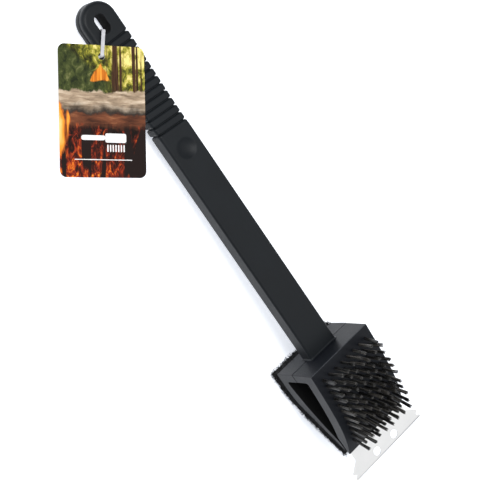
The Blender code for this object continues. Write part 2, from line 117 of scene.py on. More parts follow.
BLADE_TOP_Z = 3.2 * MM
BLADE_THICKNESS = 0.8 * MM
BLADE_REAR_X = 61 * MM
BLADE_FRONT_X = 92 * MM
BLADE_NECK_HALF = 27.2 * MM
BLADE_HALF_WIDTH = 35 * MM
BLADE_HOLE_RADIUS = 3.2 * MM
BLADE_HOLE_X = 86.8 * MM
BLADE_HOLE_Y = 9.3 * MM
BLADE_BEVEL = 0.9 * MM
BLADE_NECK_X = 79.4 * MM
# The hooked corner from the neck outwards, in mm.
BLADE_HOOK = ((80.2, 27.6), (85.9, 34.9), (86.4, 35.2), (87.1, 35.1), (87.3, 34.6), (88.2, 33.1),
              (88.9, 32.9), (89.6, 33.6))

PAD_THICKNESS = 8.5 * MM
PAD_REAR_X = 0.5 * MM
PAD_FRONT_X = 70.5 * MM
PAD_VOXEL = 0.85 * MM
PAD_PROUD = 1.2 * MM
FIBRE_COUNT = 3400

ROW_COUNT = 11
ROW_FIRST_X = 8.5 * MM
ROW_LAST_X = 63.5 * MM
TUFTS_IN_ROW = 8
TUFT_PITCH = 6.4 * MM
TUFT_LENGTH = 15 * MM
TUFT_RADIUS = 0.85 * MM
FILAMENT_RADIUS = 0.31 * MM

STRAP_AXIS = Vector((-270 * MM, -2.3 * MM, 0))
STRAP_ANGLE = math.radians(-42)
STRAP_REACH = 17.5 * MM
STRAP_WIDTH = 2.4 * MM
STRAP_THICKNESS = 0.7 * MM
TAG_WIDTH = 61.4 * MM
TAG_LENGTH = 85.8 * MM
TAG_THICKNESS = 0.6 * MM
TAG_CORNER = 4.6 * MM
TAG_ANGLE = math.radians(-37.2)
TAG_HOLE_RADIUS = 2.3 * MM
TAG_HOLE_INSET = 7.2 * MM
TAG_CLEARANCE = 0.4 * MM

# ---- Camera, in the brush's own frame ----
CAMERA_PLACE = Vector((-402.85 * MM, -442.99 * MM, 927.48 * MM))
CAMERA_AZIMUTH = -34.666
CAMERA_ELEVATION = 60.032
CAMERA_ROLL = 86.526
CAMERA_LENS = 117.66


def brush_frame():
    """The brush's own frame in the CAD model: tilted so that the brush lies on its end and its pad."""
    joint = next(j for j in frame["joints"] if j["name"] == "strap_swivel")
    up = Vector(joint["axis"])
    turn = Matrix.Rotation(math.atan2(up.x, up.z), 4, 'Y')
    origin = Vector(joint["pos_m"]) - turn @ STRAP_AXIS
    return Matrix.Translation(origin) @ turn


BRUSH = brush_frame()
STANDING = Matrix.Rotation(math.radians(90), 4, 'X')   # an outline in x and y, stood up in x and z


# ---- Helpers for meshes ----
def scene_object(name, data):
    """A new object in the scene."""
    item = bpy.data.objects.new(name, data)
    bpy.context.scene.collection.objects.link(item)
    return item


def new_piece(name, mesh, material, body, replaces=(), smooth_angle=40, place=None):
    """Put a mesh into the scene on its body, in place of the CAD nodes that it stands for."""
    mesh.transform(BRUSH @ place if place else BRUSH)
    piece = scene_object(name, mesh)
    mesh.materials.append(material)
    mesh.shade_smooth()
    mesh.set_sharp_from_angle(angle=math.radians(smooth_angle))
    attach(piece, body)
    if replaces:
        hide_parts(*replaces)
    return piece


def mesh_from(shell, name):
    mesh = bpy.data.meshes.new(name)
    shell.to_mesh(mesh)
    shell.free()
    return mesh


def raw_mesh(name, points, faces):
    mesh = bpy.data.meshes.new(name)
    mesh.from_pydata([tuple(p) for p in points], [], faces)
    mesh.update()
    return mesh


def arc(centre_x, centre_y, radius, start, end, steps):
    angles = np.radians(np.linspace(start, end, steps + 1))
    return [(centre_x + radius * math.cos(a), centre_y + radius * math.sin(a)) for a in angles]


def circle(centre_x, centre_y, radius):
    return arc(centre_x, centre_y, radius, 0, 360, 40)[:-1]


def rounded_rectangle(x_low, x_high, y_low, y_high, radius, steps=8):
    left, right, low, high = x_low + radius, x_high - radius, y_low + radius, y_high - radius
    points = []
    for centre, start in (((right, low), -90), ((right, high), 0), ((left, high), 90), ((left, low), 180)):
        points += arc(*centre, radius, start, start + 90, steps)
    return points


def tidied(mesh, weld, flat_angle=0.0):
    """Weld a mesh's vertices, join faces that are flat to within an angle, and turn normals outwards."""
    shell = bmesh.new()
    shell.from_mesh(mesh)
    bmesh.ops.remove_doubles(shell, verts=shell.verts, dist=weld)
    if flat_angle:
        bmesh.ops.dissolve_limit(shell, angle_limit=flat_angle, verts=shell.verts, edges=shell.edges)
    bmesh.ops.recalc_face_normals(shell, faces=shell.faces)
    shell.to_mesh(mesh)
    shell.free()
    return mesh


def plate_mesh(name, loops, thickness, matrix=None):
    """Extrude flat outlines (later loops are holes) into a closed mesh, centred on its plane."""
    curve = bpy.data.curves.new(name, 'CURVE')
    curve.dimensions = '2D'
    curve.fill_mode = 'BOTH'
    curve.extrude = thickness / 2
    for loop in loops:
        spline = curve.splines.new('POLY')
        spline.points.add(len(loop) - 1)
        for point, (x, y) in zip(spline.points, loop):
            point.co = (x, y, 0, 1)
        spline.use_cyclic_u = True
    holder = scene_object(name, curve)
    mesh = tidied(applied(holder), 0.00001, math.radians(0.1))
    bpy.data.curves.remove(curve)
    if matrix:
        mesh.transform(matrix)
    return mesh


def bevelled(mesh, width, segments, angle=40):
    """Round a mesh's sharp edges for good."""
    holder = scene_object("bevelling", mesh)
    bevel = holder.modifiers.new("bevel", 'BEVEL')
    bevel.width = width
    bevel.segments = segments
    bevel.limit_method = 'ANGLE'
    bevel.angle_limit = math.radians(angle)
    return applied(holder)


def applied(holder):
    """The holder's mesh with its modifiers applied. The holder itself is removed."""
    bpy.context.view_layer.update()
    evaluated = holder.evaluated_get(bpy.context.evaluated_depsgraph_get())
    mesh = bpy.data.meshes.new_from_object(evaluated)
    bpy.data.objects.remove(holder)
    return mesh


def cut_by(mesh, tool):
    """A mesh less another, both in the same place."""
    body, cutter = scene_object("cutting", mesh), scene_object("tool", tool)
    boolean = body.modifiers.new("cut", 'BOOLEAN')
    boolean.operation = 'DIFFERENCE'
    boolean.solver = 'EXACT'
    boolean.object = cutter
    result = applied(body)
    bpy.data.objects.remove(cutter)
    return result


def keep_flats_flat(piece):
    """Weight normals by face area, so that large flat faces shade flat beside their rounded edges."""
    weighted = piece.modifiers.new("weighted_normals", 'WEIGHTED_NORMAL')
    weighted.keep_sharp = True
    weighted.weight = 80


def faces_of(piece):
    """A placed piece's faces, with their centres and normals in the brush's own frame."""
    inside = BRUSH.inverted()
    turn = inside.to_3x3()
    for face in piece.data.polygons:
        yield face, inside @ face.center, turn @ face.normal


def stacked_loops(name, loops):
    """A closed mesh through loops of equally many points, capped at both ends."""
    count = len(loops[0])
    points = [point for loop in loops for point in loop]
    faces = []
    for level in range(len(loops) - 1):
        low, high = level * count, (level + 1) * count
        for i in range(count):
            j = (i + 1) % count
            faces.append((low + i, low + j, high + j, high + i))
    faces.append(tuple(reversed(range(count))))
    faces.append(tuple(range(len(points) - count, len(points))))
    return tidied(raw_mesh(name, points, faces), 0.000002)


def tube_mesh(name, paths, radii, sides):
    """Thin closed tubes along short paths, all in one mesh. Each radius runs from root to tip."""
    points, faces = [], []
    angles = [2 * math.pi * k / sides for k in range(sides)]
    for path, (root_radius, tip_radius) in zip(paths, radii):
        direction = (path[-1] - path[0]).normalized()
        across = direction.orthogonal().normalized()
        other = direction.cross(across)
        base = len(points)
        for step, centre in enumerate(path):
            share = step / (len(path) - 1)
            radius = root_radius + (tip_radius - root_radius) * share
            for angle in angles:
                points.append(centre + (across * math.cos(angle) + other * math.sin(angle)) * radius)
        for step in range(len(path) - 1):
            low = base + step * sides
            for k in range(sides):
                following = (k + 1) % sides
                faces.append((low + k, low + following, low + sides + following, low + sides + k))
        faces.append(tuple(base + k for k in reversed(range(sides))))
        faces.append(tuple(base + (len(path) - 1) * sides + k for k in range(sides)))
    return raw_mesh(name, points, faces)


# ---- Helpers for materials ----
class Shader:
    """A Principled material and short calls for the nodes around it."""

    def __init__(self, name, colour, roughness, metallic=0.0):
        self.material = bpy.data.materials.new(name)
        self.material.use_nodes = True
        self.tree = self.material.node_tree
        self.principled = self.tree.nodes["Principled BSDF"]
        self.set("Base Color", (*colour, 1))
        self.set("Roughness", roughness)
        self.set("Metallic", metallic)

    def set(self, socket, value):
        self.principled.inputs[socket].default_value = value

    def node(self, kind, **values):
        node = self.tree.nodes.new(kind)
        for key, value in values.items():
            if hasattr(node, key):
                setattr(node, key, value)
            else:
                node.inputs[key].default_value = value
        return node

    def link(self, source, target):
        self.tree.links.new(source, target)

    def place(self, scale=(1, 1, 1), source="Object", rotation=(0, 0, 0)):
        """Texture coordinates, stretched and turned."""
        coordinates = self.node('ShaderNodeTexCoord')
        mapping = self.node('ShaderNodeMapping')
        mapping.inputs["Scale"].default_value = scale
        mapping.inputs["Rotation"].default_value = rotation
        self.link(coordinates.outputs[source], mapping.inputs["Vector"])
        return mapping.outputs["Vector"]

    def noise(self, vector, scale, detail=3.0, roughness=0.5, distortion=0.0):
        node = self.node('ShaderNodeTexNoise', Scale=scale, Detail=detail, Roughness=roughness,
                         Distortion=distortion)
        self.link(vector, node.inputs["Vector"])
        return node.outputs["Fac"]

    def cells(self, vector, scale):
        node = self.node('ShaderNodeTexVoronoi', Scale=scale)
        self.link(vector, node.inputs["Vector"])
        return node.outputs["Distance"]

    def spread(self, value, low, high, to_low=0.0, to_high=1.0, smooth=False):
        """Map a range of values to another, held at its ends."""
        node = self.node('ShaderNodeMapRange', interpolation_type='SMOOTHSTEP' if smooth else 'LINEAR')
        sockets = ("From Min", "From Max", "To Min", "To Max")
        for socket, limit in zip(sockets, (low, high, to_low, to_high)):
            node.inputs[socket].default_value = limit
        self.link(value, node.inputs["Value"])
        return node.outputs["Result"]

    def maths(self, operation, first, second):
        node = self.node('ShaderNodeMath', operation=operation)
        for socket, value in zip(node.inputs, (first, second)):
            if isinstance(value, (int, float)):
                socket.default_value = value
            else:
                self.link(value, socket)
        return node.outputs["Value"]

    def gloss(self, value, low, high, to_low, to_high):
        """Roughness that follows a value."""
        self.feed(self.spread(value, low, high, to_low, to_high), "Roughness")

    def ramp(self, value, stops):
        """Colours along a value from 0 to 1."""
        node = self.node('ShaderNodeValToRGB')
        elements = node.color_ramp.elements
        while len(elements) > len(stops):
            elements.remove(elements[-1])
        while len(elements) < len(stops):
            elements.new(0.5)
        for element, (position, colour) in zip(elements, stops):
            element.position = position
            element.color = (*colour, 1)
        self.link(value, node.inputs["Fac"])
        return node.outputs["Color"]

    def blend(self, share, first, second):
        """Mix two colours by a mask. A colour may be fixed or a socket."""
        node = self.node('ShaderNodeMix', data_type='RGBA')
        self.link(share, node.inputs["Factor"])
        for socket, value in ((node.inputs[6], first), (node.inputs[7], second)):
            if isinstance(value, tuple):
                socket.default_value = (*value, 1)
            else:
                self.link(value, socket)
        return node.outputs[2]

    def bump(self, height, distance, strength):
        """Relief on the surface."""
        node = self.node('ShaderNodeBump')
        node.inputs["Strength"].default_value = strength
        node.inputs["Distance"].default_value = distance
        self.link(height, node.inputs["Height"])
        self.feed(node.outputs["Normal"], "Normal")

    def feed(self, source, socket):
        self.link(source, self.principled.inputs[socket])


def moulded_plastic(name, colour, roughness):
    """Satin black plastic with a fine spark-eroded grain and faint cloudy variation."""
    shader = Shader(name, colour, roughness)
    place = shader.place()
    cloud = shader.noise(place, 45, 4)
    grain = shader.noise(place, 3600, 2, 0.6)
    dark = tuple(c * 0.86 for c in colour)
    light = tuple(c * 1.16 for c in colour)
    shader.feed(shader.ramp(cloud, [(0.3, dark), (0.7, light)]), "Base Color")
    shader.gloss(cloud, 0.3, 0.7, roughness - 0.03, roughness + 0.05)
    shader.bump(grain, 0.00006, 0.5)
    shader.set("Specular IOR Level", 0.18)
    return shader.material


def bristle_material():
    """Stiff black filaments with a soft shine, each of its own tone, with painted shade that darkens each
    filament towards its root.
    """
    shader = Shader("bristle_black", (0.012, 0.011, 0.010), 0.32)
    shader.set("Specular IOR Level", 0.75)
    patch = shader.noise(shader.place(), 420, 2)
    along = shader.node('ShaderNodeAttribute', attribute_name="along")
    tone = shader.node('ShaderNodeAttribute', attribute_name="tone")
    dark = shader.ramp(patch, [(0.30, (0.002, 0.002, 0.002)), (0.72, (0.007, 0.007, 0.006))])
    light = shader.ramp(tone.outputs["Fac"], [(0.20, (0.005, 0.005, 0.005)), (0.60, (0.020, 0.019, 0.017)),
                                              (0.95, (0.085, 0.079, 0.071))])
    # Painted shade: near black at the root, each filament's own tone from about halfway up.
    shader.feed(shader.blend(shader.spread(along.outputs["Fac"], 0.0, 0.55), dark, light), "Base Color")
    shader.gloss(patch, 0.3, 0.7, 0.24, 0.40)
    streak = shader.noise(shader.place((9000, 9000, 700)), 1.0, 2)
    shader.bump(streak, 0.00003, 0.4)
    return shader.material


def scouring_material():
    """Black abrasive fibre: matt, with tiny glints of grit."""
    shader = Shader("scouring_black", (0.005, 0.005, 0.0055), 0.85)
    shader.set("Specular IOR Level", 0.18)
    place = shader.place()
    tangle = shader.noise(place, 900, 4, 0.7, 1.5)
    shader.feed(shader.ramp(tangle, [(0.32, (0.002, 0.002, 0.002)), (0.55, (0.006, 0.006, 0.0065)),
                                     (0.78, (0.024, 0.024, 0.026))]), "Base Color")
    shader.gloss(tangle, 0.3, 0.75, 0.95, 0.45)
    grit = shader.cells(place, 1800)
    shader.bump(grit, 0.0002, 0.7)
    return shader.material


def steel_material():
    """Bright stamped sheet with fine brushing across the blade."""
    shader = Shader("bright_steel", (0.69, 0.69, 0.68), 0.34, 1.0)
    lines = shader.noise(shader.place((2600, 60, 2600)), 1.0, 4, 0.65)
    blotch = shader.noise(shader.place(), 60, 3)
    shader.gloss(lines, 0.25, 0.75, 0.30, 0.40)
    shader.feed(shader.ramp(blotch, [(0.25, (0.67, 0.67, 0.66)), (0.75, (0.715, 0.71, 0.70))]), "Base Color")
    shader.bump(lines, 0.000006, 0.25)
    return shader.material


def screw_material():
    shader = Shader("zinc_screw", (0.45, 0.45, 0.46), 0.35, 1.0)
    mottle = shader.noise(shader.place(), 1500, 3)
    shader.gloss(mottle, 0.3, 0.7, 0.28, 0.45)
    shader.feed(shader.ramp(mottle, [(0.3, (0.38, 0.38, 0.40)), (0.7, (0.52, 0.52, 0.52))]), "Base Color")
    return shader.material


def strap_material():
    """Slightly milky plastic tie."""
    shader = Shader("tie_plastic", (0.50, 0.50, 0.52), 0.42)
    cloud = shader.noise(shader.place(), 500, 3)
    shader.feed(shader.ramp(cloud, [(0.3, (0.46, 0.46, 0.48)), (0.7, (0.56, 0.56, 0.58))]), "Base Color")
    shader.gloss(cloud, 0.3, 0.7, 0.32, 0.48)
    shader.set("Subsurface Weight", 0.15)
    shader.set("Subsurface Radius", (0.001, 0.001, 0.001))
    return shader.material


def card_material():
    """Plain board: the tag's back and cut edge."""
    shader = Shader("tag_board", (0.62, 0.60, 0.56), 0.62)
    fibre = shader.noise(shader.place(), 2500, 4, 0.7)
    shader.feed(shader.ramp(fibre, [(0.3, (0.55, 0.53, 0.49)), (0.7, (0.68, 0.66, 0.62))]), "Base Color")
    shader.bump(fibre, 0.00003, 0.4)
    return shader.material


def ink_material():
    """Flat white print."""
    shader = Shader("tag_white_ink", (0.83, 0.82, 0.80), 0.38)
    fleck = shader.noise(shader.place(), 1800, 3)
    shader.feed(shader.ramp(fleck, [(0.25, (0.76, 0.75, 0.73)), (0.6, (0.86, 0.85, 0.84))]), "Base Color")
    return shader.material


def print_material():
    """Generic printed scene: sunlit wood above, a pale log across the middle, embers and flames below."""
    shader = Shader("tag_print", (0.2, 0.1, 0.05), 0.30)
    across = shader.place(source="UV")
    split = shader.node('ShaderNodeSeparateXYZ')
    shader.link(across, split.inputs[0])
    u, v = split.outputs["X"], split.outputs["Y"]
    wobble = shader.noise(across, 7, 4, 0.6)
    ragged = shader.maths('ADD', v, shader.spread(wobble, 0.2, 0.8, -0.035, 0.035))

    # Sunlit wood: leaves as blotches, brighter to the right and at the top, with dark upright trunks.
    leaves = shader.noise(across, 13, 6, 0.66, 0.5)
    lit = shader.maths('ADD', leaves, shader.spread(u, 0.10, 0.80, -0.15, 0.10))
    lit = shader.maths('ADD', lit, shader.spread(v, 0.0, 0.30, 0.08, -0.06))
    wood = shader.ramp(lit, [(0.36, (0.016, 0.014, 0.004)), (0.48, (0.085, 0.090, 0.012)),
                             (0.58, (0.40, 0.36, 0.045)), (0.70, (0.90, 0.74, 0.25))])
    trunk_noise = shader.noise(shader.place((13.0, 0.4, 1), "UV"), 1.0, 2, 0.5)
    trunks = shader.maths('MULTIPLY', shader.spread(trunk_noise, 0.50, 0.54), shader.spread(u, 0.50, 0.60))
    bark = shader.ramp(shader.noise(shader.place((60, 8, 1), "UV"), 1.0, 3),
                       [(0.3, (0.016, 0.007, 0.004)), (0.8, (0.11, 0.050, 0.022))])
    wood = shader.blend(trunks, wood, bark)

    # A warm glow on a dark slope, to the left of the trunks.
    slope = shader.maths('ADD', shader.maths('MULTIPLY', u, -0.55), v)
    slope_mask = shader.maths('MULTIPLY', shader.spread(slope, -0.06, -0.01), shader.spread(u, 0.66, 0.50))
    green = shader.ramp(leaves, [(0.35, (0.012, 0.018, 0.006)), (0.55, (0.060, 0.075, 0.020)),
                                 (0.7, (0.20, 0.20, 0.075))])
    wood = shader.blend(slope_mask, wood, green)
    wide = shader.maths('ABSOLUTE', shader.maths('SUBTRACT', u, 0.485), 0)
    wide = shader.maths('ADD', wide, shader.spread(wobble, 0.2, 0.8, -0.030, 0.030))
    peak = shader.maths('SUBTRACT', shader.spread(v, 0.125, 0.27, 0.0, 0.125), wide)
    peak = shader.maths('MULTIPLY', shader.spread(peak, 0.0, 0.015), shader.spread(ragged, 0.275, 0.262))
    folds = shader.noise(shader.place((26, 3, 1), "UV", (0, 0, 0.35)), 1.0, 3, 0.5)
    glow = shader.ramp(folds, [(0.30, (0.30, 0.060, 0.006)), (0.55, (0.85, 0.27, 0.025)),
                               (0.75, (1.0, 0.50, 0.10))])
    wood = shader.blend(peak, wood, glow)

    # The pale log and the red-brown one under it.
    streaks = shader.noise(shader.place((4, 26, 1), "UV"), 1.0, 5, 0.6, 0.4)
    pale = shader.ramp(streaks, [(0.28, (0.11, 0.075, 0.045)), (0.50, (0.42, 0.31, 0.21)),
                                 (0.72, (0.80, 0.66, 0.50))])
    shade = shader.spread(ragged, 0.42, 0.515, smooth=True)
    pale = shader.blend(shade, pale, (0.028, 0.022, 0.018))
    brown = shader.ramp(streaks, [(0.3, (0.040, 0.014, 0.008)), (0.55, (0.17, 0.055, 0.025)),
                                  (0.75, (0.34, 0.13, 0.055))])
    picture = shader.blend(shader.spread(ragged, 0.340, 0.356), wood, pale)
    picture = shader.blend(shader.spread(ragged, 0.505, 0.525), picture, brown)

    # Charred wood with glowing cracks, hotter towards the bottom left.
    cracks = shader.noise(shader.place((13, 10, 1), "UV"), 1.0, 6, 0.68, 1.2)
    heat = shader.maths('ADD', cracks, shader.spread(v, 0.6, 1.0, -0.06, 0.05))
    heat = shader.maths('ADD', heat, shader.spread(u, 0.05, 0.75, 0.05, -0.02))
    embers = shader.ramp(heat, [(0.38, (0.006, 0.003, 0.002)), (0.50, (0.050, 0.008, 0.004)),
                                (0.59, (0.32, 0.030, 0.008)), (0.68, (0.85, 0.20, 0.014)),
                                (0.78, (0.98, 0.70, 0.16))])
    picture = shader.blend(shader.spread(ragged, 0.585, 0.640), picture, embers)
    slats = shader.noise(shader.place((7.5, 1.6, 1), "UV", (0, 0, 0.16)), 1.0, 1, 0.4)
    slats = shader.maths('MULTIPLY', shader.spread(slats, 0.53, 0.57), shader.spread(v, 0.58, 0.64))
    picture = shader.blend(slats, picture, (0.012, 0.006, 0.005))

    # Flames licking up the left side.
    tongue = shader.noise(shader.place((7, 2.2, 1), "UV", (0, 0, -0.45)), 1.0, 4, 0.55, 0.8)
    reach = shader.maths('ADD', shader.spread(u, 0.0, 0.30, 0.30, -0.30),
                         shader.spread(shader.maths('ABSOLUTE', shader.maths('SUBTRACT', v, 0.66), 0),
                                       0.08, 0.34, 0.0, -0.45))
    flame = shader.maths('ADD', tongue, reach)
    flame_colour = shader.ramp(flame, [(0.50, (0.55, 0.085, 0.010)), (0.64, (0.92, 0.34, 0.035)),
                                       (0.82, (1.0, 0.80, 0.32))])
    picture = shader.blend(shader.spread(flame, 0.50, 0.60), picture, flame_colour)

    dots = shader.noise(across, 260, 2, 0.6)
    picture = shader.blend(shader.spread(dots, 0.5, 0.8, 0, 0.18), picture, (0.03, 0.02, 0.01))
    shader.feed(picture, "Base Color")
    shader.gloss(dots, 0.3, 0.7, 0.30, 0.40)
    shader.set("Specular IOR Level", 0.10)
    return shader.material


# ---- Handle ----
def groove(x):
    """Depth of the grip's surface below the shaft's at x: thin grooves between rounded ribs."""
    index = round((x - GROOVE_FIRST_X) / GROOVE_PITCH)
    if index < 0 or index >= GROOVE_COUNT:
        return 0.0
    away = abs(x - GROOVE_FIRST_X - index * GROOVE_PITCH)
    left = RIB_ROUND - max(away - GROOVE_FLAT, 0.0)
    if left <= 0:
        return 0.0
    return min(RIB_ROUND - math.sqrt(RIB_ROUND ** 2 - left ** 2), GROOVE_DEPTH)


def handle_stations():
    """The x values of the handle's cross sections: dense round the loop, the grooves and the dimple."""
    centre = -HANDLE_LENGTH + LOOP_HALF_WIDTH
    stations = [centre - LOOP_HALF_WIDTH * math.sin(a) for a in np.linspace(math.pi / 2, 0, 36)]
    stations += list(np.linspace(centre, GROOVE_FIRST_X - GROOVE_LEAD, 6)[1:])
    offsets = [-o for o in GROOVE_OFFSETS] + [0] + list(reversed(GROOVE_OFFSETS))
    for index in range(GROOVE_COUNT):
        middle = GROOVE_FIRST_X + index * GROOVE_PITCH
        stations += [middle + o * MM for o in offsets]
        if index < GROOVE_COUNT - 1:
            stations.append(middle + GROOVE_PITCH / 2)
    stations.append(GRIP_END_X)
    stations += list(np.linspace(DIMPLE_X - DIMPLE_RADIUS, DIMPLE_X + DIMPLE_RADIUS, 33))
    stations += list(np.linspace(SHAFT_START_X, -ROOT_FILLET - GAP, 9))
    stations += [-GAP / 3 - ROOT_FILLET * (1 - math.sin(a)) for a in np.linspace(0.15, math.pi / 2, 9)]
    return stations


def edge_curve(x, half_width, half_height, rim):
    """Quarter of a section, from the side wall over the rounded edge to the flat face: (y, z) pairs."""
    past = max(-HANDLE_LENGTH + LOOP_HALF_WIDTH - x, 0.0)
    quarter = []
    for turn in np.linspace(0, math.pi / 2, 9):
        inset = rim * (1 - math.cos(turn))
        width = math.sqrt(max((half_width - inset) ** 2 - past ** 2, 0))
        inset = min(inset, half_width - past)
        height = half_height - rim + math.sqrt(max(rim ** 2 - (rim - inset) ** 2, 0))
        quarter.append((width, height))
    return quarter


def root_flare(x):
    """Growth of the shaft's section in its last millimetres, a quarter circle up to the rear wall."""
    run = min(max(x + ROOT_FILLET + GAP / 3, 0.0), ROOT_FILLET)
    return ROOT_FILLET - math.sqrt(ROOT_FILLET ** 2 - run ** 2)


def waist(x, z):
    """Depth of the channel round the loop's side wall, which fades out before the first groove."""
    fade = float(np.interp(x, [GROOVE_FIRST_X - before for before in WAIST_FADE], [1, 0]))
    fade *= float(np.interp(x, [-HANDLE_LENGTH, -HANDLE_LENGTH + WAIST_START], [0, 1]))
    away = abs(z) / WAIST_HALF
    return fade * WAIST_DEPTH * (1 - away ** 2) ** 2 if away < 1 else 0.0


def handle_section(x):
    """One cross section of the handle, as points round it from the +Y side over the top."""
    change = root_flare(x) - groove(x)
    flare = float(np.interp(x, FLARE_X, [1, 0]))
    shift = LOOP_SHIFT * flare
    half_width = HANDLE_HALF_WIDTH + (LOOP_HALF_WIDTH - HANDLE_HALF_WIDTH) * flare + change
    half_height = HANDLE_HALF_HEIGHT + change
    rims = [float(np.interp(x, RIM_X, [loop, grip, grip, shaft]))
            for loop, grip, shaft in zip(LOOP_RIMS, GRIP_RIMS, SHAFT_RIMS)]
    halves = []
    for rim in rims:
        quarter = edge_curve(x, half_width, half_height, rim)
        flat, level = quarter[-1]
        across = [(flat * (1 - 2 * k / 32), level) for k in range(1, 32)]
        halves.append(quarter + across + [(-w, h) for w, h in reversed(quarter)])
    upper, lower = halves
    edge, top, bottom = upper[0][0], upper[0][1], -lower[0][1]
    wall = [(edge - waist(x, z), z) for z in np.linspace(top, bottom, 13)[1:-1]]
    points = upper + [(-w, z) for w, z in wall]
    points += [(-w, -h) for w, h in lower] + [(w, z) for w, z in reversed(wall)]
    skew = GRIP_SKEW * float(np.interp(x, SKEW_X, [0, 1, 1, 0]))
    return [Vector((x + skew * y, y + shift, z - dimple(x, y) if z > 0 else z)) for y, z in points]


def dimple(x, y):
    """Depth of the thumb dimple at a point of the upper face."""
    away = math.hypot(x - DIMPLE_X, y) / DIMPLE_RADIUS
    return DIMPLE_DEPTH * (1 - away ** 2) if away < 1 else 0.0


def tang_loops():
    """The tongue that the two parts of the head close around, as further loops after the shaft's."""
    steps = [(-GAP / 3, TANG_HALF_WIDTH), (REAR_WALL + GAP, TANG_HALF_WIDTH),
             (REAR_WALL + GAP, TANG_HEAD_HALF_WIDTH),
             (REAR_WALL + GAP + TANG_HEAD_LENGTH, TANG_HEAD_HALF_WIDTH)]
    shape = handle_section(SHAFT_MIDDLE_X)
    loops = []
    for x, half_width in steps:
        scale_y, scale_z = half_width / HANDLE_HALF_WIDTH, TANG_HALF_HEIGHT / HANDLE_HALF_HEIGHT
        loops.append([Vector((x, p.y * scale_y, p.z * scale_z)) for p in shape])
    return loops


def slot_tool():
    """Cutter for the hang slot, flared so that it leaves a rounded rim on both faces."""
    def outline(grow, z):
        radius = SLOT_WIDTH / 2 + grow
        reach = SLOT_LENGTH / 2 - SLOT_WIDTH / 2
        ends = (arc(SLOT_X + reach, SLOT_Y, radius, -90, 90, 20)
                + arc(SLOT_X - reach, SLOT_Y, radius, 90, 270, 20))
        return [Vector((x, y, z)) for x, y in ends]

    levels = []
    for turn in np.linspace(0, math.pi / 2, 8):
        levels.append((SLOT_RIM * (1 - math.cos(turn)),
                       HANDLE_HALF_HEIGHT - SLOT_RIM + SLOT_RIM * math.sin(turn)))
    levels.append((SLOT_RIM, HANDLE_HALF_HEIGHT + 0.002))
    full = [(grow, -z) for grow, z in reversed(levels)] + levels
    return stacked_loops("slot_tool", [outline(grow, z) for grow, z in full])


def build_handle(material, inner):
    """The handle, with painted shade inside its slot: a darker, duller plastic there."""
    loops = [handle_section(x) for x in handle_stations()]
    body = stacked_loops("handle_body", loops + tang_loops())
    body = cut_by(body, slot_tool())
    handle = new_piece("handle_body", body, material, "brush", ["handle"], 48)
    handle.data.materials.append(inner)
    margin = SLOT_RIM * 0.3               # the rim keeps most of the handle's own plastic, outside the painted shade
    for face, centre, _ in faces_of(handle):
        reach = max(abs(centre.x - SLOT_X) - (SLOT_LENGTH - SLOT_WIDTH) / 2, 0)
        in_slot = math.hypot(reach, centre.y - SLOT_Y) < SLOT_WIDTH / 2 + margin
        if in_slot and abs(centre.z) < HANDLE_HALF_HEIGHT - margin:
            face.material_index = 1
    keep_flats_flat(handle)


# ---- Head ----
def face_drop():
    return FACE_REAR_Z - FACE_SLOPE * HEAD_DEPTH - FACE_TIP_Z


def face_z(x):
    """Bristle face: nearly flat at the rear, curling down to the tip."""
    return FACE_REAR_Z - FACE_SLOPE * x - face_drop() * (max(x, 0) / HEAD_DEPTH) ** 4


def face_lean(x):
    """Angle by which the bristle face's normal leans towards +X."""
    return math.atan(FACE_SLOPE + 4 * face_drop() * (x / HEAD_DEPTH) ** 3 / HEAD_DEPTH)


def carrier_z(x):
    """Pad side: flat at the rear, then a soft bend into a straight rise."""
    bend = math.log1p(math.exp((x - CARRIER_BEND_X) / CARRIER_BEND_LENGTH))
    return CARRIER_REAR_Z + CARRIER_SLOPE * CARRIER_BEND_LENGTH * bend


def carrier_lean(x):
    rise = 1 / (1 + math.exp((CARRIER_BEND_X - x) / CARRIER_BEND_LENGTH))
    return math.atan(CARRIER_SLOPE * rise)


def window_floor(x):
    run = x - REAR_WALL
    return WINDOW_FLOOR_Z + WINDOW_FLOOR_SLOPE * run + WINDOW_FLOOR_CURVE * run ** 2


def block_underside(x):
    return max(face_z(x) - BLOCK_THICKNESS, BLADE_TOP_Z + GAP)


def profile(height, start, end, steps):
    return [(x, height(x)) for x in np.linspace(start, end, steps + 1)]


def first_below(height, level, start, end):
    """The x from which a falling height is below a level."""
    return next(x for x in np.linspace(start, end, 4000) if height(x) < level)


def tang_tool():
    half_width, half_height = TANG_HALF_WIDTH + GAP, TANG_HALF_HEIGHT + GAP
    outline = rounded_rectangle(-half_width, half_width, -half_height, half_height, 0.4 * MM, 2)
    facing = Matrix.Rotation(math.radians(90), 4, 'Z') @ STANDING
    return plate_mesh("tang_tool", [outline], 3 * REAR_WALL, facing)


def paint_hollow_shade(piece, material):
    """Paint shade into the hollow of the head, behind the rear wall and inside the sides: a darker, duller
    plastic there.
    """
    piece.data.materials.append(material)
    for face, centre, normal in faces_of(piece):
        flat = abs(normal.y) < 0.5 and REAR_WALL - 0.2 * MM < centre.x < HEAD_DEPTH - 6 * MM
        if flat and window_floor(centre.x) - 0.3 * MM < centre.z < block_underside(centre.x) + 0.3 * MM:
            face.material_index = 1


def paint_rear_edge_highlight(piece, material):
    """Paint a highlight on the sharp upper edge of the rear wall: a lighter, glossier plastic on its bevel.
    """
    piece.data.materials.append(material)
    for face, centre, normal in faces_of(piece):
        if centre.x < 1.5 * MM and centre.z > FACE_REAR_Z - 1.5 * MM and normal.x < -0.3 and normal.z > 0.3:
            face.material_index = 2


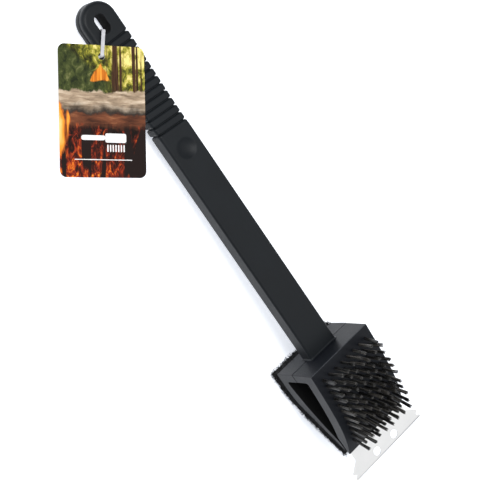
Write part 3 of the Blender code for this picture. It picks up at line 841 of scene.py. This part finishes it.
def build_block(material, inner, edge):
    seat = first_below(lambda x: face_z(x) - BLOCK_THICKNESS, BLADE_TOP_Z + GAP, 0.03, HEAD_DEPTH)
    fillet = arc(REAR_WALL + WINDOW_FILLET, block_underside(REAR_WALL) - BLOCK_FILLET_DROP, WINDOW_FILLET,
                 90, 180, 5)
    outline = ([(0, GAP / 4)] + profile(face_z, REAR_DRAFT, HEAD_DEPTH, 48)
               + [(HEAD_DEPTH, BLADE_TOP_Z + GAP / 2)]
               + profile(block_underside, seat, REAR_WALL + WINDOW_FILLET, 36) + fillet[1:]
               + [(REAR_WALL, GAP / 4)])
    mesh = bevelled(plate_mesh("head_bristle_block", [outline], HEAD_WIDTH, STANDING), BLOCK_BEVEL, 3)
    mesh = cut_by(mesh, tang_tool())
    piece = new_piece("head_bristle_block", mesh, material, "brush", ["bristle_block"])
    paint_hollow_shade(piece, inner)
    paint_rear_edge_highlight(piece, edge)
    keep_flats_flat(piece)


def build_carrier(material, inner):
    seat = BLADE_TOP_Z - BLADE_THICKNESS - GAP / 2
    floor_end = first_below(lambda x: -window_floor(x), -seat, REAR_WALL, HEAD_DEPTH)
    tip = first_below(lambda x: -carrier_z(x), -seat + 0.6 * MM, CARRIER_BEND_X, HEAD_DEPTH)
    fillet = arc(REAR_WALL + WINDOW_FILLET, WINDOW_FLOOR_Z + CARRIER_FILLET_RISE, WINDOW_FILLET, 180, 270, 5)
    outline = ([(0, -GAP / 4), (REAR_WALL, -GAP / 4)] + fillet[:-1]
               + profile(window_floor, REAR_WALL + WINDOW_FILLET, floor_end, 30) + [(tip, seat)]
               + profile(carrier_z, tip, REAR_DRAFT, 50))
    mesh = bevelled(plate_mesh("head_pad_carrier", [outline], HEAD_WIDTH, STANDING), CARRIER_BEVEL, 3)
    mesh = cut_by(mesh, tang_tool())
    piece = new_piece("head_pad_carrier", mesh, material, "brush", ["pad_carrier"])
    paint_hollow_shade(piece, inner)
    keep_flats_flat(piece)


# ---- Tufts ----
def row_positions():
    """The rows' x values, evenly spaced along the curved bristle face."""
    xs = np.linspace(ROW_FIRST_X, ROW_LAST_X, 400)
    zs = np.array([face_z(x) for x in xs])
    run = np.concatenate([[0], np.cumsum(np.hypot(np.diff(xs), np.diff(zs)))])
    return np.interp(np.linspace(0, run[-1], ROW_COUNT), run, xs)


def packed_disc():
    """Centres of the filaments of one tuft in a disc of radius 1: two inside eight."""
    spots = []
    for count, radius in ((2, 0.30), (8, 0.88)):
        for k in range(count):
            angle = 2 * math.pi * k / count
            spots.append(Vector((math.cos(angle), math.sin(angle), 0)) * radius)
    return spots


def tuft_paths(draw, centre_y):
    """The filaments of one tuft, which stands on the local origin's plane."""
    lean = Vector((draw.gauss(0, 0.04), draw.gauss(0, 0.04), 1)).normalized()
    twist = Matrix.Rotation(draw.uniform(0, math.pi), 3, 'Z')
    length = TUFT_LENGTH + draw.uniform(-0.4, 0.3) * MM
    paths = []
    for spot in packed_disc():
        start = twist @ spot * TUFT_RADIUS
        start += Vector((draw.gauss(0, 0.04), draw.gauss(0, 0.04), 0)) * MM
        splay = start * draw.uniform(0.05, 0.45) + Vector((draw.gauss(0, 0.12), draw.gauss(0, 0.12), 0)) * MM
        tall = length - draw.uniform(0, 0.9) * MM - start.length * 0.3
        root = Vector((0, centre_y, 0)) + start
        points = []
        for share in (-0.10, 0.0, 0.35, 0.7, 1.0):
            bend = splay * max(share, 0) ** 1.7
            points.append(root + lean * tall * share + bend)
        paths.append(points)
    return paths


def mark_filaments(mesh, steps, sides, draw):
    """Note on every vertex how far along its filament it is, from root to tip, and the filament's tone."""
    along = mesh.attributes.new("along", 'FLOAT', 'POINT')
    tone = mesh.attributes.new("tone", 'FLOAT', 'POINT')
    tones = [draw.random() for _ in range(len(mesh.vertices) // (steps * sides))]
    for index in range(len(mesh.vertices)):
        along.data[index].value = (index // sides) % steps / (steps - 1)
        tone.data[index].value = tones[index // (steps * sides)]


def build_tufts(material):
    for index, x in enumerate(row_positions(), start=1):
        draw = random.Random(900 + index)
        middle = (TUFTS_IN_ROW - 1) / 2
        paths = []
        for column in range(TUFTS_IN_ROW):
            paths += tuft_paths(draw, (column - middle) * TUFT_PITCH + draw.gauss(0, 0.15) * MM)
        radii = [(FILAMENT_RADIUS, FILAMENT_RADIUS * 0.96)] * len(paths)
        mesh = tube_mesh(f"tufts_{index:02d}", paths, radii, 6)
        mark_filaments(mesh, 5, 6, draw)
        place = Matrix.Translation((x, 0, face_z(x))) @ Matrix.Rotation(face_lean(x), 4, 'Y')
        new_piece(f"tufts_{index:02d}", mesh, material, "brush", [f"tuft_row_{index:02d}"], 50,
                  place)


# ---- Scouring pad ----
def pad_point(x, y, depth):
    """A point at a depth below the pad carrier's curved face."""
    lean = carrier_lean(x)
    return Vector((x + depth * math.sin(lean), y, carrier_z(x) - depth * math.cos(lean)))


def pad_core():
    """The mat itself: a block that follows the carrier, remeshed and roughened by noise."""
    half = HEAD_WIDTH / 2 - 0.4 * MM
    xs = np.linspace(PAD_REAR_X + 0.3 * MM, PAD_FRONT_X, 30)
    loops = []
    for x in xs:
        top, bottom = GAP, PAD_THICKNESS - 0.5 * MM
        corners = ((-half, top), (half, top), (half, bottom), (-half, bottom))
        loops.append([pad_point(x, y, depth) for y, depth in corners])
    holder = scene_object("pad_core", stacked_loops("pad_core", loops))
    remesh = holder.modifiers.new("remesh", 'REMESH')
    remesh.mode = 'VOXEL'
    remesh.voxel_size = PAD_VOXEL
    mesh = applied(holder)
    shift = []
    for vertex in mesh.vertices:
        spot = vertex.co / MM
        coarse = noise.fractal(spot * 0.30, 1.0, 2.0, 3)
        fine = noise.noise(spot * 1.35)
        shift.append(vertex.normal * (0.55 * coarse + 0.75 * fine) * MM)
    for vertex, offset in zip(mesh.vertices, shift):
        vertex.co += offset
    mesh.update()
    return mesh


def pad_fibres(draw, count):
    """Loose curled fibres that lie on the mat's outer face and stand out at its edges."""
    half = HEAD_WIDTH / 2
    paths, radii = [], []
    for _ in range(count):
        x = draw.uniform(PAD_REAR_X, PAD_FRONT_X)
        y = draw.uniform(-half, half)
        depth = PAD_THICKNESS - 0.35 * MM
        choice = draw.random()
        if choice < 0.30:
            y = math.copysign(half - 0.3 * MM, draw.random() - 0.5)
        elif choice < 0.38:
            x = PAD_FRONT_X if draw.random() < 0.5 else PAD_REAR_X + 0.2 * MM
        if choice < 0.38:
            depth = draw.uniform(0.8 * MM, PAD_THICKNESS - 0.4 * MM)
        middle = pad_point(x, y, depth)
        direction = Vector((draw.gauss(0, 1), draw.gauss(0, 1), draw.gauss(0, 0.25)))
        if choice < 0.30:
            direction = Vector((draw.gauss(0, 1), draw.gauss(0, 0.25), draw.gauss(0, 1)))
        direction.normalize()
        curl = Vector((draw.gauss(0, 1), draw.gauss(0, 1), draw.gauss(0, 1))) * draw.uniform(0.3, 0.9) * MM
        length = draw.uniform(2.5, 6.5) * MM
        paths.append([middle + direction * length * s + curl * (1 - (2 * s) ** 2) * 0.9
                      for s in (-0.5, -0.2, 0.15, 0.5)])
        radius = draw.uniform(0.13, 0.24) * MM
        radii.append((radius, radius * 0.7))
    return tube_mesh("pad_fibres", paths, radii, 4)


def inside_pad_box(mesh):
    """Hold the fibres inside the CAD pad's outline, a little proud of it at most."""
    side = HEAD_WIDTH / 2 + PAD_PROUD
    rear_floor = CARRIER_REAR_Z - GAP - PAD_THICKNESS
    for vertex in mesh.vertices:
        point = vertex.co
        point.y = max(-side, min(side, point.y))
        point.x = max(-PAD_PROUD, point.x)
        point.z = max(rear_floor - 0.2 * MM, point.z)


def build_pad(material):
    core = pad_core()
    fibres = pad_fibres(random.Random(41), FIBRE_COUNT)
    shell = bmesh.new()
    shell.from_mesh(core)
    shell.from_mesh(fibres)
    mesh = mesh_from(shell, "scouring_mat")
    inside_pad_box(mesh)
    pad = new_piece("scouring_mat", mesh, material, "brush", ["scouring_pad"], 60)


# ---- Scraper ----
def blade_outline():
    """Trapezoid with hooked corners, wider than the head."""
    half = [(BLADE_REAR_X, BLADE_NECK_HALF), (BLADE_NECK_X, BLADE_NECK_HALF)]
    half += [(x * MM, y * MM) for x, y in BLADE_HOOK]
    half += [(90.3 * MM, BLADE_HALF_WIDTH - 0.2 * MM), (90.8 * MM, BLADE_HALF_WIDTH),
             (BLADE_FRONT_X, BLADE_HALF_WIDTH)]
    return half + [(x, -y) for x, y in reversed(half)]


def grind_tool():
    """Wedge over the front edge that grinds it to a chisel."""
    angle = math.atan2(BLADE_THICKNESS * 0.25, BLADE_BEVEL)
    outline = [(-0.02 * MM, 0), (9 * MM, 0), (9 * MM, 4 * MM), (-0.02 * MM, 4 * MM)]
    place = (Matrix.Translation((BLADE_FRONT_X - BLADE_BEVEL, 0, BLADE_TOP_Z))
             @ Matrix.Rotation(angle, 4, 'Y'))
    return plate_mesh("grind_tool", [outline], 90 * MM, place @ STANDING)


def build_blade(material):
    holes = [circle(BLADE_HOLE_X, side * BLADE_HOLE_Y, BLADE_HOLE_RADIUS) for side in (-1, 1)]
    middle = Matrix.Translation((0, 0, BLADE_TOP_Z - BLADE_THICKNESS / 2))
    mesh = plate_mesh("scraper_steel", [blade_outline()] + holes, BLADE_THICKNESS, middle)
    mesh = bevelled(mesh, 0.10 * MM, 2)
    mesh = cut_by(mesh, grind_tool())
    blade = new_piece("scraper_steel", mesh, material, "brush", ["scraper_blade"])
    keep_flats_flat(blade)


# ---- Strap and tag ----
def strap_place():
    return Matrix.Translation(STRAP_AXIS) @ Matrix.Rotation(STRAP_ANGLE, 4, 'Z')


def tag_place():
    turn = Matrix.Rotation(TAG_ANGLE - STRAP_ANGLE, 4, 'Z')
    return strap_place() @ Matrix.Translation((STRAP_REACH, 0, 0)) @ turn


def build_strap(material):
    """Flat band with softly rounded edges, swept round its closed path."""
    half = STRAP_THICKNESS / 2
    top = HANDLE_HALF_HEIGHT + 2 * TAG_CLEARANCE + TAG_THICKNESS
    bottom = -HANDLE_HALF_HEIGHT - GAP
    outer = rounded_rectangle(-half, STRAP_REACH + half, bottom - STRAP_THICKNESS, top + STRAP_THICKNESS,
                              1.2 * MM, 8)
    inner = rounded_rectangle(half, STRAP_REACH - half, bottom, top, 0.5 * MM, 8)
    mesh = bevelled(plate_mesh("tie_band", [outer, inner], STRAP_WIDTH, STANDING), 0.22 * MM, 3, 60)
    strap = new_piece("tie_band", mesh, material, "strap", ["tag_strap"], 45, strap_place())
    keep_flats_flat(strap)


def lay_print(mesh, front_z):
    """Give the card's face its own material slot and picture coordinates."""
    for layer in list(mesh.uv_layers):
        mesh.uv_layers.remove(layer)
    picture = mesh.uv_layers.new(name="picture")
    for face in mesh.polygons:
        on_face = face.normal.z > 0.5 and face.center.z > front_z - 0.05 * MM
        face.material_index = 1 if on_face else 0
        for corner in face.loop_indices:
            point = mesh.vertices[mesh.loops[corner].vertex_index].co
            u = 0.5 + point.y / TAG_WIDTH
            v = (point.x + TAG_HOLE_INSET) / TAG_LENGTH
            picture.data[corner].uv = (u, v)


def build_tag(board, picture):
    low = HANDLE_HALF_HEIGHT + TAG_CLEARANCE
    card = rounded_rectangle(-TAG_HOLE_INSET, TAG_LENGTH - TAG_HOLE_INSET,
                             -TAG_WIDTH / 2, TAG_WIDTH / 2, TAG_CORNER, 12)
    middle = Matrix.Translation((0, 0, low + TAG_THICKNESS / 2))
    mesh = plate_mesh("tag_card", [card, circle(0, 0, TAG_HOLE_RADIUS)], TAG_THICKNESS, middle)
    mesh = bevelled(mesh, 0.08 * MM, 2)
    lay_print(mesh, low + TAG_THICKNESS)
    tag = new_piece("tag_card", mesh, board, "tag", ["hang_tag"], 40, tag_place())
    tag.data.materials.append(picture)
    keep_flats_flat(tag)


def build_print(ink):
    """White printed marks: a plain brush pictogram over a rule, in place of any lettering."""
    top = HANDLE_HALF_HEIGHT + TAG_CLEARANCE + TAG_THICKNESS

    def bar(along, across, length, width, radius):
        return rounded_rectangle(along - length / 2, along + length / 2, across - width / 2,
                                 across + width / 2, radius, 4)

    def mark(name, outlines):
        shell = bmesh.new()
        for outline in outlines:
            shell.from_mesh(plate_mesh(name, [outline], 0.04 * MM))
        mesh = mesh_from(shell, name)
        place = tag_place() @ Matrix.Translation((-TAG_HOLE_INSET, 0, top + 0.02 * MM))
        new_piece(name, mesh, ink, "tag", (), 30, place)

    mark("tag_rule", [bar(0.865 * TAG_LENGTH, 0, 0.55 * MM, 41 * MM, 0.25 * MM)])
    handle = bar(0.700 * TAG_LENGTH, -7 * MM, 3.2 * MM, 17 * MM, 1.5 * MM)
    head = bar(0.700 * TAG_LENGTH, 9 * MM, 6.0 * MM, 15 * MM, 1.2 * MM)
    bristles = [bar(0.778 * TAG_LENGTH, (3.2 + 1.93 * k) * MM, 4.6 * MM, 0.95 * MM, 0.3 * MM)
                for k in range(7)]
    mark("tag_pictogram", [handle, head] + bristles)


# ---- CAD nodes that stay ----
def paint_screws(material):
    for name, node in frame["nodes"].items():
        if name.startswith("housing_screw"):
            node.data.materials.clear()
            node.data.materials.append(material)


# ---- Stage, light and camera ----
def build_floor():
    shader = Shader("floor_white", (0.86, 0.86, 0.86), 0.9)
    mottle = shader.noise(shader.place(), 3, 2)
    shader.feed(shader.ramp(mottle, [(0.3, (0.85, 0.85, 0.855)), (0.7, (0.87, 0.87, 0.87))]), "Base Color")
    shader.set("Emission Color", (0.86, 0.91, 1.0, 1))
    shader.set("Emission Strength", 0.56)
    shell = bmesh.new()
    bmesh.ops.create_grid(shell, x_segments=8, y_segments=8, size=6)
    floor = scene_object("floor", mesh_from(shell, "floor"))
    floor.location.z = -0.0002
    floor.data.materials.append(shader.material)


def area_light(name, place, aim, size, energy):
    light = bpy.data.lights.new(name, 'AREA')
    light.shape = 'DISK'
    light.size = size
    light.energy = energy
    holder = scene_object(name, light)
    holder.location = place
    holder.rotation_mode = 'QUATERNION'
    holder.rotation_quaternion = (Vector(aim) - Vector(place)).to_track_quat("-Z", "Y")


def build_light():
    world = bpy.data.worlds.new("studio")
    world.use_nodes = True
    background = world.node_tree.nodes["Background"]
    background.inputs["Color"].default_value = (0.94, 0.96, 1.0, 1)
    background.inputs["Strength"].default_value = 0.56
    bpy.context.scene.world = world
    area_light("key", (-1.0, -0.7, 1.0), (0, 0, 0), 0.9, 7)
    area_light("glint", (-0.48, -0.10, 1.46), (-0.07, 0.02, 0), 0.6, 11)
    area_light("over", (0.40, 0.76, 1.65), (0, 0, 0), 1.6, 5.6)


def build_camera():
    azimuth, elevation = math.radians(CAMERA_AZIMUTH), math.radians(CAMERA_ELEVATION)
    back = Vector((math.sin(azimuth) * math.cos(elevation), -math.cos(azimuth) * math.cos(elevation),
                   math.sin(elevation)))
    side = Vector((math.cos(azimuth), math.sin(azimuth), 0))
    up = back.cross(side)
    roll = math.radians(CAMERA_ROLL)
    right = side * math.cos(roll) + up * math.sin(roll)
    upright = back.cross(right)
    camera = scene_object("camera", bpy.data.cameras.new("camera"))
    turn = Matrix((right, upright, back)).transposed()
    camera.matrix_world = BRUSH @ Matrix.Translation(CAMERA_PLACE) @ turn.to_4x4()
    camera.data.lens = CAMERA_LENS
    camera.data.sensor_width = 36
    camera.data.clip_start = 0.01
    camera.data.clip_end = 30
    bpy.context.scene.camera = camera


build_camera()
build_floor()
build_light()
bpy.context.scene.view_settings.view_transform = 'Standard'

handle_plastic = moulded_plastic("handle_black", (0.0062, 0.0080, 0.0098), 0.42)
head_plastic = moulded_plastic("head_black", (0.0060, 0.0072, 0.0098), 0.40)
# Near-black, dull plastic that paints shade into the head's hollow and the handle's slot.
hollow_shade_plastic = moulded_plastic("head_hollow_painted_shade", (0.0012, 0.0013, 0.0015), 0.85)
# Lighter, glossier plastic that paints a highlight along the rear wall's upper edge.
rear_edge_highlight_plastic = moulded_plastic("head_edge_painted_highlight", (0.055, 0.060, 0.066), 0.34)
build_handle(handle_plastic, hollow_shade_plastic)
build_block(head_plastic, hollow_shade_plastic, rear_edge_highlight_plastic)
build_carrier(head_plastic, hollow_shade_plastic)
build_tufts(bristle_material())
build_pad(scouring_material())
build_blade(steel_material())
build_strap(strap_material())
build_tag(card_material(), print_material())
build_print(ink_material())
paint_screws(screw_material())
